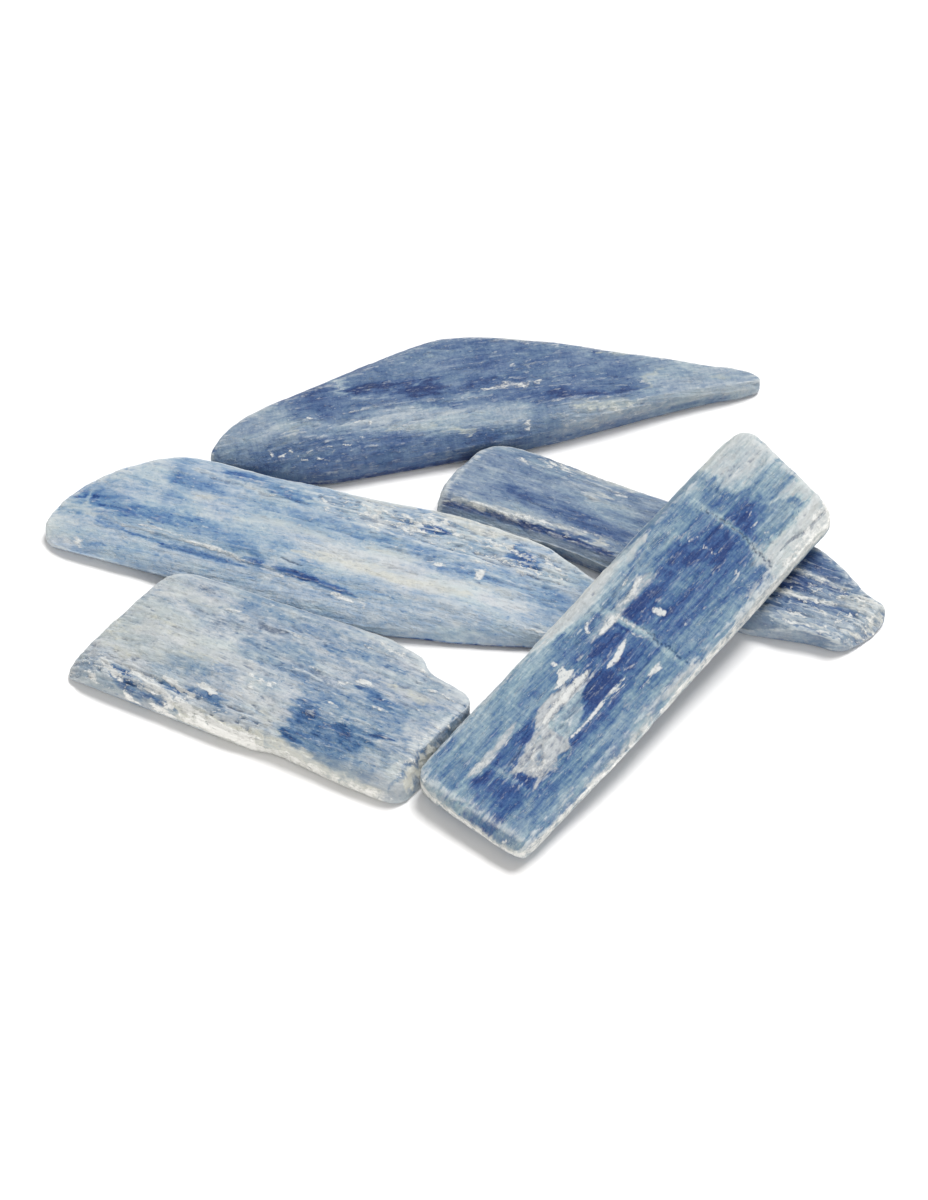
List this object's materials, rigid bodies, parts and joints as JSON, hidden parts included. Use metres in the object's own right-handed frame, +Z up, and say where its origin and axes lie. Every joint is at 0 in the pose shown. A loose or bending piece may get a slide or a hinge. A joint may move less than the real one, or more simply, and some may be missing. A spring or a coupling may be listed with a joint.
{
  "type": "kyanite blade cluster, loose blades",
  "caption": "Loose blades of rough blue kyanite lying together on a table, one leaning across two of the others.",
  "frame": {"origin": "bottom centre of the box round all the blades, on the table they lie on", "axes": "+Z up from the table, +X along the group's longest side to the right, +Y towards back_blade"},
  "size_m": [0.1086, 0.085, 0.0102],
  "materials": {
    "back_kyanite": "steel blue kyanite with a navy band, fine lengthwise striae and small cream flecks, pearly satin gloss",
    "left_kyanite": "pale grey-blue kyanite with mid-blue lengthwise bands, white step lines and a splintery back rim",
    "front_kyanite": "whitish grey-blue kyanite, chipped and cream along its front edge, with a saturated blue patch",
    "right_kyanite": "slate blue kyanite, striated, with wavy white ridges towards its outer end",
    "cross_kyanite": "deep royal blue kyanite, finely striated, with cream inclusions, pale cross fractures and a pale rim"
  },
  "bodies": {
    "root": {"back_blade": "back_kyanite", "left_blade": "left_kyanite", "front_blade": "front_kyanite", "right_blade": "right_kyanite", "crossing_blade": "cross_kyanite"}
  },
  "joints": []
}
